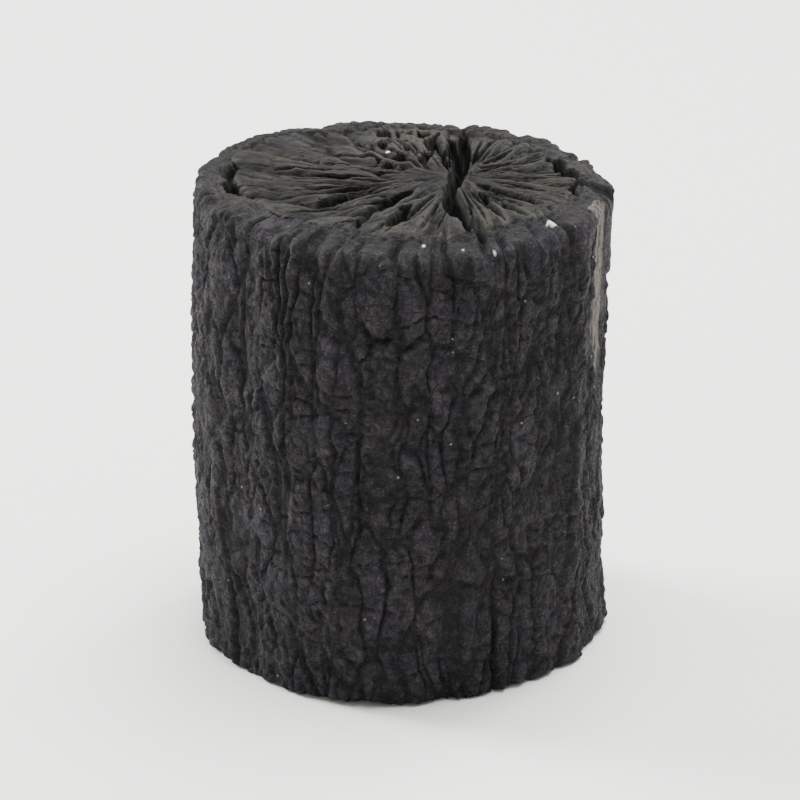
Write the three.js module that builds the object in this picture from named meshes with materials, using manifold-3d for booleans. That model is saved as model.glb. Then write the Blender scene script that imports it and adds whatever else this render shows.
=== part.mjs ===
// Chrysanthemum charcoal for a tea room's hearth: one short length of oak branch, charred whole
// with its bark on. Both ends are sawn square. The wood has split along its rays, so cracks fan
// out from the pith like petals, and the bark has drawn away from the wood in places.
//
// Millimetres, +Z up. It stands on its lower sawn end, and the origin is the centre of its base.

import * as THREE from 'three';
import { mergeVertices } from 'three/addons/utils/BufferGeometryUtils.js';
import Module from 'manifold-3d';

// ---------------------------------------------------------------- driving dimensions

const LENGTH = 76; // between the sawn ends, where it is longest
const WIDTH = 64; // across the bark, left to right
const DEPTH = 57; // across the bark, front to back
const TOP_FALL = 2.4; // the upper cut runs this much lower at the back
const BARK = 5.2; // thickness of the bark
const BARK_PROUD = 0.4; // how far the bark stands above the wood, and twice that at FRONT_LEFT
const FRONT_LEFT = THREE.MathUtils.degToRad(-143);
const RIM_WEAR = 1.3; // rounding of the bark's edge at both cuts
const FRONT_WEAR = 1.7; // how far the bark's upper edge is worn down, most of all at WORN_SIDE
const WORN_SIDE = THREE.MathUtils.degToRad(-68);
const SWEEP = 0.9; // bow of the branch along its length
const DISH = 0.6; // hollow of the upper face at the pith
const SWELL = 0.25; // height of the slow waves on the upper face
const SWELL_SIZE = new THREE.Vector2(6.5, 5.5); // a sixth of their length, each way
const PITH = new THREE.Vector2(8, 3); // heart of the branch on both cuts

// Lobes that bend the section: how many, their share of the radius, and their phase.
const LOBES = [[3, 0.018, -0.7], [5, 0.011, 1.9]];
// The bark's lengthwise ridges: their height, and for each wave how many, its share of that
// height, and how far it wanders round the trunk over RIDGE_WANDER of its length.
const FURROW = 0.4;
const RIDGES = [[7, 0.6, 0.8], [11, 0.5, -1.3], [17, 0.45, 1.4], [26, 0.35, -1.1]];
const RIDGE_WANDER = 30;

// Facets: round the trunk, along it, over its rims, and in rings from the pith out to the rim.
const COLUMNS = 96;
const SIDE_ROWS = 12;
const RIM_TURNS = [30, 60, 90].map((degrees) => THREE.MathUtils.degToRad(degrees));
const BASE_RINGS = [0.3, 0.62, 1];
const TOP_RINGS = [0.08, 0.18, 0.3, 0.42, 0.55, 0.68, 0.8, 0.86, 0.93, 1];

// Cutting blades of the cracks: length of a facet and the fewest in a crack, degrees between the
// points of a gap round the bark, and how far a blade stands out of the cut face. A crack's gape
// follows half a sine wave, cut off a little at both ends and filled out by a power.
const BLADE_STEP = 2.5;
const FEWEST_STEPS = 4;
const GAP_STEP = 6;
const OVERCUT = 3;
const BLUNT_END = 0.05;
const GAPE_POWER = 0.6;

// Cracks of the upper cut: where each runs on the face, how wide it gapes and how deep it goes.
const TOP_CRACKS = [
  { path: [[9.8, 23.4], [9.6, 15], [8.9, 6.5], [7.6, -1.4]], width: 3, depth: 9 },
  { path: [[7.2, -3.2], [8.2, -9.5], [10.4, -15.5], [12.2, -20]], width: 3, depth: 9 },
  { path: [[3.6, 4.2], [-5, 6.4], [-18.5, 7]], width: 1.1, depth: 7 },
  { path: [[1.5, 1.2], [-8, -0.8], [-19, -6]], width: 1.3, depth: 7 },
  { path: [[-2.2, -0.4], [-7, -4.2], [-12, -8.6]], width: 2, depth: 8 },
  { path: [[1.4, -3], [-3, -9.6], [-7.4, -18]], width: 1.9, depth: 8 },
  { path: [[2.6, -8], [-1.8, -17.2]], width: 1.3, depth: 6 },
  { path: [[12.4, 3.2], [19, 3.6], [26, 3.4]], width: 1.1, depth: 7 },
  { path: [[11.6, 0.6], [16, -3.2], [21, -7.4]], width: 1.4, depth: 7 },
  { path: [[11.8, -4], [18.6, -13.2]], width: 1.3, depth: 6 },
  { path: [[12, 7.4], [21.5, 12.4]], width: 1.1, depth: 6 },
  { path: [[2, 9], [-4, 18.5]], width: 1.8, depth: 6 },
];

// Cracks of the lower cut, which mirror the upper ones only loosely, as the grain wanders.
const BASE_CRACKS = [
  { path: [[8.4, 21], [7.6, 9], [8.2, -3], [6.6, -14]], width: 2.2, depth: 12 },
  { path: [[3.8, 6], [-7, 12.6]], width: 1.2, depth: 6 },
  { path: [[3.4, 0.4], [-4, -3], [-10, -14]], width: 1.3, depth: 6 },
  { path: [[12.4, 5], [22.4, 9.6]], width: 1.2, depth: 6 },
  { path: [[12.2, -0.4], [20.6, -9]], width: 1.3, depth: 6 },
];

// Arcs where the bark has come away from the wood: start and end angle in degrees, gap and depth.
const TOP_BARK_GAPS = [
  { from: 166, to: 196, width: 1.8, depth: 5 },
  { from: -6, to: 24, width: 1.8, depth: 6 },
  { from: 205, to: 232, width: 1.1, depth: 3.5 },
];
const BASE_BARK_GAPS = [{ from: 120, to: 158, width: 1.2, depth: 4 }];

// ---------------------------------------------------------------- the trunk

/** Radius of the trunk's section at an angle in radians: an oval that three and five lobes bend. */
function sectionRadius(angle) {
  const a = WIDTH / 2;
  const b = DEPTH / 2;
  const oval = (a * b) / Math.hypot(b * Math.cos(angle), a * Math.sin(angle));
  const bends = LOBES.map(([count, share, phase]) => share * Math.cos(count * angle + phase));
  return bends.reduce((radius, bend) => radius + oval * bend, oval);
}

/** Height of the bark's ridges, which wander as they run along the branch. */
function furrows(angle, z) {
  const drift = Math.sin(z / RIDGE_WANDER);
  const waves = RIDGES.map(([count, share, turn]) => share * Math.cos(count * angle + turn * drift));
  return waves.reduce((height, wave) => height + FURROW * wave, 0);
}

/** How much an angle round the trunk faces a side: 1 at that side, 0 a quarter turn away. */
function facing(angle, side) {
  return Math.max(0, Math.cos(angle - side));
}

/** Point on the bark, `inset` millimetres inside it. */
function barkPoint(angle, z, inset = 0) {
  const radius = sectionRadius(angle) + furrows(angle, z) - inset;
  const bow = SWEEP * Math.sin((Math.PI * z) / LENGTH);
  return new THREE.Vector3(radius * Math.cos(angle) - bow, radius * Math.sin(angle), z);
}

/**
 * Height of the upper cut `inset` millimetres inside the bark's surface: sloping and slightly
 * dished. The bark stands proud of the wood, and is worn down at the front.
 */
function topHeight(x, y, inset) {
  const angle = Math.atan2(y, x);
  const slope = TOP_FALL * (y / DEPTH + 0.5);
  const reach = Math.hypot(x - PITH.x, y - PITH.y) / (WIDTH / 2);
  const dish = DISH * Math.max(0, 1 - reach * reach);
  const swell = SWELL * Math.sin(x / SWELL_SIZE.x) * Math.cos(y / SWELL_SIZE.y);
  const wood = LENGTH - slope - dish + swell;
  if (inset >= BARK) {
    return wood;
  }
  const proud = BARK_PROUD * (1 + facing(angle, FRONT_LEFT));
  return wood + proud - FRONT_WEAR * facing(angle, WORN_SIDE) * (1 - inset / BARK);
}

/** The closed surface of the trunk, one ring of points after another from base to upper cut. */
function trunkGeometry() {
  const columns = Array.from({ length: COLUMNS }, (_, i) => (2 * Math.PI * i) / COLUMNS);
  const rings = [];

  const faceRing = (share, z, heightAt) =>
    columns.map((angle) => {
      const edge = barkPoint(angle, z, RIM_WEAR);
      const point = new THREE.Vector3(PITH.x, PITH.y, 0).lerp(edge, share);
      const inset = RIM_WEAR + (1 - share) * edge.distanceTo(new THREE.Vector3(PITH.x, PITH.y, z));
      point.z = heightAt(point.x, point.y, inset);
      return point;
    });

  // Lower cut: flat, because the piece stands on it.
  for (const share of BASE_RINGS) {
    rings.push(faceRing(share, 0, () => 0));
  }

  // Bark, rounded over at both cuts.
  for (const turn of RIM_TURNS) {
    const z = RIM_WEAR * (1 - Math.cos(turn));
    rings.push(columns.map((angle) => barkPoint(angle, z, RIM_WEAR * (1 - Math.sin(turn)))));
  }
  const rimHeight = (angle) => {
    const edge = barkPoint(angle, LENGTH, RIM_WEAR);
    return topHeight(edge.x, edge.y, RIM_WEAR);
  };
  for (let row = 1; row <= SIDE_ROWS; row += 1) {
    rings.push(
      columns.map((angle) => {
        const top = rimHeight(angle) - RIM_WEAR;
        const z = RIM_WEAR + ((top - RIM_WEAR) * row) / SIDE_ROWS;
        return barkPoint(angle, z);
      }),
    );
  }
  for (const turn of RIM_TURNS.toReversed().slice(1)) {
    rings.push(
      columns.map((angle) => {
        const point = barkPoint(angle, LENGTH, RIM_WEAR * (1 - Math.sin(turn)));
        point.z = rimHeight(angle) - RIM_WEAR * (1 - Math.cos(turn));
        return point;
      }),
    );
  }

  // Upper cut, from the bark in to the pith.
  for (const share of TOP_RINGS.toReversed()) {
    rings.push(faceRing(share, LENGTH, topHeight));
  }

  const pithBelow = new THREE.Vector3(PITH.x, PITH.y, 0);
  const pithAbove = new THREE.Vector3(PITH.x, PITH.y, topHeight(PITH.x, PITH.y, WIDTH / 2));
  return closedLathe(rings, pithBelow, pithAbove);
}

/** Joins rings of points, anticlockwise from above and bottom to top, into one closed body. */
function closedLathe(rings, first, last) {
  const positions = [first, ...rings.flat(), last].flatMap((point) => point.toArray());
  const count = rings[0].length;
  const at = (ring, column) => 1 + ring * count + (column % count);
  const end = 1 + rings.length * count;
  const index = [];
  for (let column = 0; column < count; column += 1) {
    index.push(0, at(0, column + 1), at(0, column));
    index.push(end, at(rings.length - 1, column), at(rings.length - 1, column + 1));
    for (let ring = 0; ring + 1 < rings.length; ring += 1) {
      const [a, b] = [at(ring, column), at(ring, column + 1)];
      const [c, d] = [at(ring + 1, column + 1), at(ring + 1, column)];
      index.push(a, b, c, a, c, d);
    }
  }
  const geometry = new THREE.BufferGeometry();
  geometry.setAttribute('position', new THREE.Float32BufferAttribute(positions, 3));
  geometry.setIndex(index);
  return geometry;
}

/** Centres the trunk on the origin and brings it to its stated width and depth. */
function fitToSize(geometry) {
  geometry.computeBoundingBox();
  const { min, max } = geometry.boundingBox;
  geometry.translate(-(min.x + max.x) / 2, -(min.y + max.y) / 2, -min.z);
  geometry.scale(WIDTH / (max.x - min.x), DEPTH / (max.y - min.y), LENGTH / (max.z - min.z));
  return geometry;
}

// ---------------------------------------------------------------- the cracks

/**
 * The blade that cuts one crack: V-shaped in section, `width` across at the cut face and running
 * out to nothing at both ends. `faceZ` is the face's height and `out` is +1 up or -1 down.
 */
function crackBlade({ path, width, depth }, faceZ, out) {
  const curve = new THREE.CatmullRomCurve3(path.map(([x, y]) => new THREE.Vector3(x, y, 0)));
  const steps = Math.max(FEWEST_STEPS, Math.ceil(curve.getLength() / BLADE_STEP));
  const positions = [];
  for (let step = 0; step <= steps; step += 1) {
    const centre = curve.getPointAt(step / steps);
    const along = curve.getTangentAt(step / steps);
    const phase = BLUNT_END + ((1 - 2 * BLUNT_END) * step) / steps;
    const gape = Math.sin(Math.PI * phase) ** GAPE_POWER;
    const keel = depth * gape;
    const half = (width / 2) * gape * (1 + OVERCUT / keel);
    const across = new THREE.Vector3(-along.y, along.x, 0).multiplyScalar(half);
    positions.push(centre.x + across.x, centre.y + across.y, faceZ + out * OVERCUT);
    positions.push(centre.x - across.x, centre.y - across.y, faceZ + out * OVERCUT);
    positions.push(centre.x, centre.y, faceZ - out * keel);
  }
  const index = [0, 2, 1, 3 * steps, 3 * steps + 1, 3 * steps + 2];
  for (let step = 0; step < steps; step += 1) {
    for (let corner = 0; corner < 3; corner += 1) {
      const [a, b] = [3 * step + corner, 3 * step + ((corner + 1) % 3)];
      index.push(a, b, b + 3, a, b + 3, a + 3);
    }
  }
  if (out < 0) {
    index.reverse();
  }
  const geometry = new THREE.BufferGeometry();
  geometry.setAttribute('position', new THREE.Float32BufferAttribute(positions, 3));
  geometry.setIndex(index);
  return geometry;
}

/** A gap between bark and wood as a crack: its path keeps the bark's thickness inside the section. */
function barkGap({ from, to, width, depth }) {
  const path = [];
  for (let degrees = from; degrees <= to; degrees += GAP_STEP) {
    const angle = THREE.MathUtils.degToRad(degrees);
    const radius = sectionRadius(angle) - BARK;
    path.push([radius * Math.cos(angle), radius * Math.sin(angle)]);
  }
  return { path, width, depth };
}

// ---------------------------------------------------------------- cutting and export

const wasm = await Module();
wasm.setup();

/** A closed geometry as a solid that can be cut. */
function solidOf(geometry) {
  const merged = mergeVertices(geometry);
  return new wasm.Manifold(
    new wasm.Mesh({
      numProp: 3,
      vertProperties: new Float32Array(merged.attributes.position.array),
      triVerts: new Uint32Array(merged.index.array),
    }),
  );
}

/** A cut solid back as a geometry. */
function geometryOf(solid) {
  const mesh = solid.getMesh();
  const geometry = new THREE.BufferGeometry();
  geometry.setAttribute('position', new THREE.BufferAttribute(mesh.vertProperties, 3));
  geometry.setIndex(new THREE.BufferAttribute(mesh.triVerts, 1));
  geometry.computeVertexNormals();
  return geometry;
}

function charcoalLump() {
  const upperFace = LENGTH - TOP_FALL / 2;
  const blades = [
    ...TOP_CRACKS.map((crack) => crackBlade(crack, upperFace, 1)),
    ...TOP_BARK_GAPS.map((gap) => crackBlade(barkGap(gap), upperFace, 1)),
    ...BASE_CRACKS.map((crack) => crackBlade(crack, 0, -1)),
    ...BASE_BARK_GAPS.map((gap) => crackBlade(barkGap(gap), 0, -1)),
  ];
  let solid = solidOf(fitToSize(trunkGeometry()));
  for (const blade of blades) {
    solid = solid.subtract(solidOf(blade));
  }
  const char = new THREE.MeshStandardMaterial({ color: '#3a3a3c', roughness: 0.72, metalness: 0 });
  const mesh = new THREE.Mesh(geometryOf(solid), char);
  mesh.name = 'charcoal_lump';
  return mesh;
}

const part = new THREE.Group();
part.add(charcoalLump());

export default part;
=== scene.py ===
"""Chrysanthemum charcoal: a short length of oak branch, charred whole with its bark on.

The add-on builds one lump round the CAD frame, which gives its place and size, and a plain
studio stage for it. The settings keep lengths in metres, as Blender does. The modelling
functions take them in millimetres, and the mesh is brought back to metres when it is made.
"""

import math
from types import SimpleNamespace

import bpy
import numpy as np
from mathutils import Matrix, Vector


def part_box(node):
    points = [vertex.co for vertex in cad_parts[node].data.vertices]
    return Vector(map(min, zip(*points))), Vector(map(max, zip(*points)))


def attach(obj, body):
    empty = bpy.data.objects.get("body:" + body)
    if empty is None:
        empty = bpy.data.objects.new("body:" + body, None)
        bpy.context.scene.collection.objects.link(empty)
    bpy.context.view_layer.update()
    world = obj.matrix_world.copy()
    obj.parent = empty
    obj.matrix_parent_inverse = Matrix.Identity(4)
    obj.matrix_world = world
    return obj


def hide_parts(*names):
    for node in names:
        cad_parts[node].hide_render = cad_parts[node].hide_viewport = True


bl_info = {
    "name": "Chrysanthemum Charcoal",
    "version": (1, 0, 0),
    "blender": (4, 5, 0),
    "location": "View3D > Sidebar > Charcoal",
    "description": "A charred oak branch piece with ray cracks and bark, on a studio stage",
    "category": "Add Mesh",
}

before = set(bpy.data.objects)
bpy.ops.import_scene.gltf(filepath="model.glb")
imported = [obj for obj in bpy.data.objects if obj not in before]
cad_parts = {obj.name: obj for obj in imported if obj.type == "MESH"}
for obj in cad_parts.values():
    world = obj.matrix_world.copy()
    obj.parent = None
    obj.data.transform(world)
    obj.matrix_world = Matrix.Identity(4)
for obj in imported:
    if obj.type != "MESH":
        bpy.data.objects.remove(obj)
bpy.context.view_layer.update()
NODE = "charcoal_lump"
LOW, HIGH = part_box(NODE)
MM = 0.001

# ------------------------------------------------------------------ cracks, in millimetres

# The wide cracks of each cut: path on the face, gape and depth.
TOP_CRACKS = (
    (((9.8, 23.4), (9.6, 15), (8.9, 6.5), (7.4, -4.2)), 2.8, 7.0),
    (((7.2, 0.2), (8.0, -8.5), (10.2, -15), (12.2, -20.0)), 3.3, 7.5),
    (((3.6, 4.2), (-5, 6.4), (-18.5, 7)), 1.0, 5.0),
    (((1.5, 1.2), (-8, -0.8), (-19, -6)), 1.2, 5.0),
    (((-2.2, -0.4), (-7, -4.2), (-12, -8.6)), 2.2, 6.0),
    (((1.8, -2.2), (-1.6, -6.2), (-5.0, -11.2)), 2.3, 6.0),
    (((-4.4, -11.4), (-7.4, -20)), 1.7, 5.0),
    (((1.6, -8.6), (-1.8, -18.0)), 1.8, 5.0),
    (((12.4, 3.2), (19, 3.6), (26, 3.4)), 1.1, 5.0),
    (((11.6, 0.6), (16, -3.2), (21, -7.4)), 1.4, 5.0),
    (((11.8, -4), (18.6, -13.2)), 1.4, 5.0),
    (((12, 7.4), (21.5, 12.4)), 1.1, 4.0),
)
BASE_CRACKS = (
    (((8.4, 21), (7.6, 9), (8.2, -3), (6.6, -14)), 2.2, 12.0),
    (((3.8, 6), (-7, 12.6)), 1.2, 6.0),
    (((3.4, 0.4), (-4, -3), (-10, -14)), 1.3, 6.0),
    (((12.4, 5), (22.4, 9.6)), 1.2, 6.0),
    (((12.2, -0.4), (20.6, -9)), 1.3, 6.0),
)

# Where the bark has come away from the wood: start and end angle in degrees, gap and depth.
TOP_BARK_GAPS = ((157, 212, 2.6, 5.0), (-14, 30, 2.2, 6.0), (214, 240, 1.0, 3.5))
BASE_BARK_GAPS = ((120, 158, 1.2, 4.0),)

# Splits down the bark: angle in degrees, height where each starts and ends, gape and depth.
BARK_SPLITS = (
    (74.0, 80.0, 30.0, 1.3, 2.4),
    (-128.0, 80.0, 55.0, 1.1, 1.5),
    (17.0, 40.0, -6.0, 1.1, 1.8),
    (-58.0, 20.0, -8.0, 1.0, 1.4),
    (158.0, 58.0, 20.0, 1.1, 1.6),
    (-101.0, 46.0, 26.0, 0.8, 0.9),
)

# The patch behind the pith where the char has crumbled to a net of ridges round pits: its middle,
# half sizes, the width of a pit and its ridge, how much longer they are front to back, and depth.
CRUMBLE_MIDDLE = (0.8, 15.8)
CRUMBLE_HALF = (9.2, 10.0)
PIT, PIT_STRETCH, PIT_DEPTH = 2.9, 1.8, 2.2

# A sliver that tore off the bark: angle in degrees at the upper cut, degrees that it leans for
# each millimetre down, height of its foot, width and depth.
SCAR_ANGLE, SCAR_LEAN, SCAR_FOOT, SCAR_WIDTH, SCAR_DEPTH = -14.5, 0.1, 34.0, 3.8, 0.5
# It tapers to its foot over the first of these lengths, and from the second length below the upper
# cut it narrows towards a point that lies the third above it.
SCAR_TAPER, SCAR_NARROWS, SCAR_POINT = 26.0, 4.0, 6.0

# White flakes on the upper rim and face, part ash and part painted glint: place on the face and
# radius.
ASH_AND_GLINT_FLAKES = (
    ((22.8, -13.9), 0.95),
    ((3.2, -24.6), 0.35),
    ((13.6, -23.4), 0.4),
    ((-1.9, 12.0), 0.4),
    ((9.4, -24.2), 0.25),
)


# ------------------------------------------------------------------ settings


def linear(hex_colour):
    """An sRGB hex colour as linear red, green, blue and alpha."""
    channels = [int(hex_colour[i : i + 2], 16) / 255 for i in (1, 3, 5)]
    decoded = [c / 12.92 if c <= 0.04045 else ((c + 0.055) / 1.055) ** 2.4 for c in channels]
    return (*decoded, 1.0)


class CharcoalShape(bpy.types.PropertyGroup):
    """Sizes of the lump; the outer ones come from the frame."""

    width: bpy.props.FloatProperty(
        name="Width",
        description="Across the wider section",
        default=HIGH[0] - LOW[0],
        unit="LENGTH",
    )
    depth: bpy.props.FloatProperty(
        name="Depth", description="Front to back", default=HIGH[1] - LOW[1], unit="LENGTH"
    )
    length: bpy.props.FloatProperty(
        name="Length", description="Between the sawn cuts", default=HIGH[2] - LOW[2], unit="LENGTH"
    )
    pith: bpy.props.FloatVectorProperty(
        name="Pith",
        description="Where the branch's core is on the cuts",
        default=(8.0 * MM, 3.0 * MM),
        size=2,
        unit="LENGTH",
    )
    bark: bpy.props.FloatProperty(
        name="Bark",
        description="Thickness of the bark at the sides",
        default=5.2 * MM,
        unit="LENGTH",
    )
    bark_proud: bpy.props.FloatProperty(
        name="Bark proud",
        description="How far the bark stands above the shrunken wood",
        default=0.4 * MM,
        unit="LENGTH",
    )
    rim_wear: bpy.props.FloatProperty(
        name="Rim wear", description="Rounding of the bark's edges", default=1.3 * MM, unit="LENGTH"
    )
    furrow: bpy.props.FloatProperty(
        name="Furrow",
        description="Height of the bark's long ridges",
        default=0.4 * MM,
        unit="LENGTH",
    )
    fissure: bpy.props.FloatProperty(
        name="Fissure", description="Depth between bark plates", default=0.6 * MM, unit="LENGTH"
    )
    sweep: bpy.props.FloatProperty(
        name="Sweep", description="Bow of the branch to one side", default=0.9 * MM, unit="LENGTH"
    )
    top_fall: bpy.props.FloatProperty(
        name="Top fall", description="How far the upper cut slopes", default=2.4 * MM, unit="LENGTH"
    )
    dish: bpy.props.FloatProperty(
        name="Dish",
        description="Hollow of the upper cut at the pith",
        default=0.6 * MM,
        unit="LENGTH",
    )
    petal: bpy.props.FloatProperty(
        name="Petal",
        description="Height of the ridges between rays",
        default=0.75 * MM,
        unit="LENGTH",
    )
    top_rays: bpy.props.IntProperty(
        name="Top rays", description="Fine cracks on the upper cut", default=64, min=0
    )
    base_rays: bpy.props.IntProperty(
        name="Base rays", description="Fine cracks on the lower cut", default=60, min=0
    )
    columns: bpy.props.IntProperty(
        name="Columns", description="Facets round the branch", default=760, min=90
    )
    top_rows: bpy.props.IntProperty(
        name="Top rows", description="Facets from the rim to the pith, above", default=150, min=20
    )
    side_rows: bpy.props.IntProperty(
        name="Side rows", description="Facets along the bark", default=220, min=20
    )
    base_rows: bpy.props.IntProperty(
        name="Base rows", description="Facets from the pith to the rim, below", default=56, min=20
    )
    rim_rows: bpy.props.IntProperty(
        name="Rim rows", description="Facets over each worn rim", default=6, min=2
    )


class CharcoalColours(bpy.types.PropertyGroup):
    """Colours of the char with its painted shade and sheen, the white flakes, and the stage."""

    wood_dark: bpy.props.FloatVectorProperty(
        name="Wood, dark",
        description="Spring wood",
        default=linear("#0a0a08"),
        size=4,
        subtype="COLOR",
    )
    wood_light: bpy.props.FloatVectorProperty(
        name="Wood, light",
        description="Close wood",
        default=linear("#1a1914"),
        size=4,
        subtype="COLOR",
    )
    # Painted highlight colour for glinting streaks, crack lips, crests and crumbled crowns; also
    # the paler bark layers.
    wood_painted_sheen: bpy.props.FloatVectorProperty(
        name="Wood, sheen",
        description="Edges and streaks that catch light",
        default=linear("#35332c"),
        size=4,
        subtype="COLOR",
    )
    # Ends of the bark's mottle, which the bump follows: mottled tone, with painted shade in its
    # hollows and painted light on its tops.
    bark_dark: bpy.props.FloatVectorProperty(
        name="Bark, dark",
        description="Hollows of bark",
        default=linear("#151317"),
        size=4,
        subtype="COLOR",
    )
    bark_light: bpy.props.FloatVectorProperty(
        name="Bark, light",
        description="Tops of bark",
        default=linear("#39353a"),
        size=4,
        subtype="COLOR",
    )
    bark_warm: bpy.props.FloatVectorProperty(
        name="Bark, brown",
        description="Browner patches",
        default=linear("#2e2824"),
        size=4,
        subtype="COLOR",
    )
    bark_cool: bpy.props.FloatVectorProperty(
        name="Bark, blue",
        description="Bluer patches",
        default=linear("#272533"),
        size=4,
        subtype="COLOR",
    )
    # Soot in random patches and pores, and painted shade in cracks, petal valleys, pits, bark
    # fissures and crazing.
    soot_and_painted_shade: bpy.props.FloatVectorProperty(
        name="Soot",
        description="Inside the cracks",
        default=linear("#070706"),
        size=4,
        subtype="COLOR",
    )
    dust: bpy.props.FloatVectorProperty(
        name="Dust",
        description="Grit on the bark",
        default=linear("#7c7871"),
        size=4,
        subtype="COLOR",
    )
    scar: bpy.props.FloatVectorProperty(
        name="Scar",
        description="Strip of torn bark",
        default=linear("#6d6861"),
        size=4,
        subtype="COLOR",
    )
    # White flakes: part ash, part painted glint on the rim.
    ash_and_painted_glint: bpy.props.FloatVectorProperty(
        name="Ash", description="Flakes of ash", default=linear("#d9d7d1"), size=4, subtype="COLOR"
    )
    board: bpy.props.FloatVectorProperty(
        name="Board", description="Studio floor", default=linear("#f4f3ef"), size=4, subtype="COLOR"
    )
    daylight: bpy.props.FloatVectorProperty(
        name="Daylight",
        description="Light all round",
        default=linear("#f6f7f8"),
        size=4,
        subtype="COLOR",
    )


class StageSettings(bpy.types.PropertyGroup):
    """Camera and floor."""

    elevation: bpy.props.FloatProperty(
        name="Elevation",
        description="Camera's height angle above the lump",
        default=math.radians(25.4),
        subtype="ANGLE",
    )
    distance: bpy.props.FloatProperty(
        name="Distance", description="From camera to lump", default=0.65, unit="LENGTH"
    )
    framing: bpy.props.FloatProperty(
        name="Framing",
        description="Height of the picture at the lump",
        default=0.122,
        unit="LENGTH",
    )
    floor_size: bpy.props.FloatProperty(
        name="Floor size", description="Width of the floor", default=6.0, unit="LENGTH"
    )


def in_millimetres(group):
    """A group's settings as plain values, with its lengths in millimetres."""
    values = {}
    for name in type(group).__annotations__:
        value = getattr(group, name)
        if group.bl_rna.properties[name].unit == "LENGTH":
            value = value / MM if isinstance(value, float) else tuple(part / MM for part in value)
        values[name] = value
    return SimpleNamespace(**values)


# ------------------------------------------------------------------ numeric helpers


def smoothstep(low, high, x):
    """0 at low, 1 at high and a smooth ramp between; low may be the larger."""
    t = np.clip((x - low) / (high - low), 0.0, 1.0)
    return t * t * (3.0 - 2.0 * t)


def hashed(cell, seed):
    """A repeatable number from 0 to 1 for each lattice cell, an integer triple."""
    mixed = cell[..., 0] * 374761393 + cell[..., 1] * 668265263 + cell[..., 2] * 1440662683
    mixed = (mixed + seed * 1013904223) & 0xFFFFFFFF
    mixed = ((mixed ^ (mixed >> 13)) * 1274126177) & 0xFFFFFFFF
    return ((mixed ^ (mixed >> 16)) & 0xFFFF) / 65535.0


def lumps(points, size, seed, octaves=1):
    """Smooth noise of about -1 to 1.

    size is the width of its lumps in millimetres, and each seed gives another noise like it.
    """
    total, weight = 0.0, 0.0
    for octave in range(octaves):
        scaled = points * (2.0**octave / size) + 11.3 * seed
        cell = np.floor(scaled).astype(np.int64)
        blend = scaled - cell
        blend = blend * blend * (3.0 - 2.0 * blend)
        value = 0.0
        for corner in np.ndindex(2, 2, 2):
            share = np.prod(np.where(corner, blend, 1.0 - blend), axis=-1)
            value = value + share * hashed(cell + corner, seed + octave)
        total = total + (2.0 * value - 1.0) * 0.5**octave
        weight += 0.5**octave
    return total / weight


def cells(points, size, seed):
    """Scattered cells: distance to the nearest centre, to the next one, and the cell's number."""
    scaled = points / size
    base = np.floor(scaled).astype(np.int64)
    first = np.full(points.shape[:-1], 9.0)
    second = first.copy()
    number = np.zeros_like(first)
    for offset in np.ndindex(3, 3, 3):
        cell = base + offset - 1
        centre = cell + np.stack([hashed(cell, seed + axis) for axis in range(3)], -1)
        distance = np.linalg.norm(scaled - centre, axis=-1)
        second = np.minimum(second, np.maximum(distance, first))
        number = np.where(distance < first, hashed(cell, seed + 7), number)
        first = np.minimum(first, distance)
    return first, second, number


def smooth_path(points, steps=7):
    """A smooth line through a few points."""
    p = np.array([points[0], *points, points[-1]], float)
    t = np.linspace(0.0, 1.0, steps, endpoint=False)[:, None]
    spans = [
        b + 0.5 * t * (c - a + t * (2 * a - 5 * b + 4 * c - d + t * (3 * (b - c) + d - a)))
        for a, b, c, d in zip(p, p[1:], p[2:], p[3:])
    ]
    return np.vstack([*spans, p[-1:]])


def nearest_on_path(x, y, path):
    """Distance from each point to the path, and where along it that is, from 0 to 1."""
    lengths = np.linalg.norm(np.diff(path, axis=0), axis=1)
    starts = np.concatenate([[0.0], np.cumsum(lengths)])
    best = np.full(x.shape, np.inf)
    along = np.zeros(x.shape)
    for (ax, ay), (bx, by), start, length in zip(path, path[1:], starts, lengths):
        ux, uy = (bx - ax) / length, (by - ay) / length
        t = np.clip((x - ax) * ux + (y - ay) * uy, 0.0, length)
        distance = np.hypot(x - ax - t * ux, y - ay - t * uy)
        closer = distance < best
        best = np.where(closer, distance, best)
        along = np.where(closer, (start + t) / starts[-1], along)
    return best, along


# ------------------------------------------------------------------ form of the branch

# Room between the mean section and the frame's box, which the bark's relief stands in.
RELIEF_ROOM = 0.75
# Lobes of the section: how many, share of the radius and phase.
LOBES = ((3, 0.018, -0.7), (5, 0.011, 1.9))
# The bark's long ridges: how many, share of the furrow's height and how far they wander.
RIDGES = ((7, 0.6, 0.8), (11, 0.5, -1.3), (17, 0.45, 1.4), (26, 0.35, -1.1))
RIDGE_WANDER = 30.0
# Bark plates and the pebbles on them: width, and how much longer they are along the branch.
PLATE, PLATE_STRETCH = 4.2, 3.8
PEBBLE, PEBBLE_STRETCH = 1.6, 1.35
# How far plates differ in height, how far pebbles stand up and how far they differ.
PLATE_STEP, PEBBLE_RISE, PEBBLE_STEP = 0.3, 0.22, 0.2
# Swells of the bark and its coarse grit: width and height.
SWELL, SWELL_RISE = 9.0, 0.25
COARSE_GRIT, COARSE_GRIT_RISE = 0.9, 0.2
# How far fissures and plates wander from straight lines, and over what length.
WARP, WARP_SIZE = 1.8, 6.0
# Long seams between the ridges: spacing, and how much longer they are along the branch.
SEAM, SEAM_STRETCH = 3.4, 6.5
# Checks that break the plates across: spacing, how much wider they are than high, and depth.
CHECK, CHECK_STRETCH, CHECK_DEPTH = 3.6, 2.6, 0.35


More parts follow.
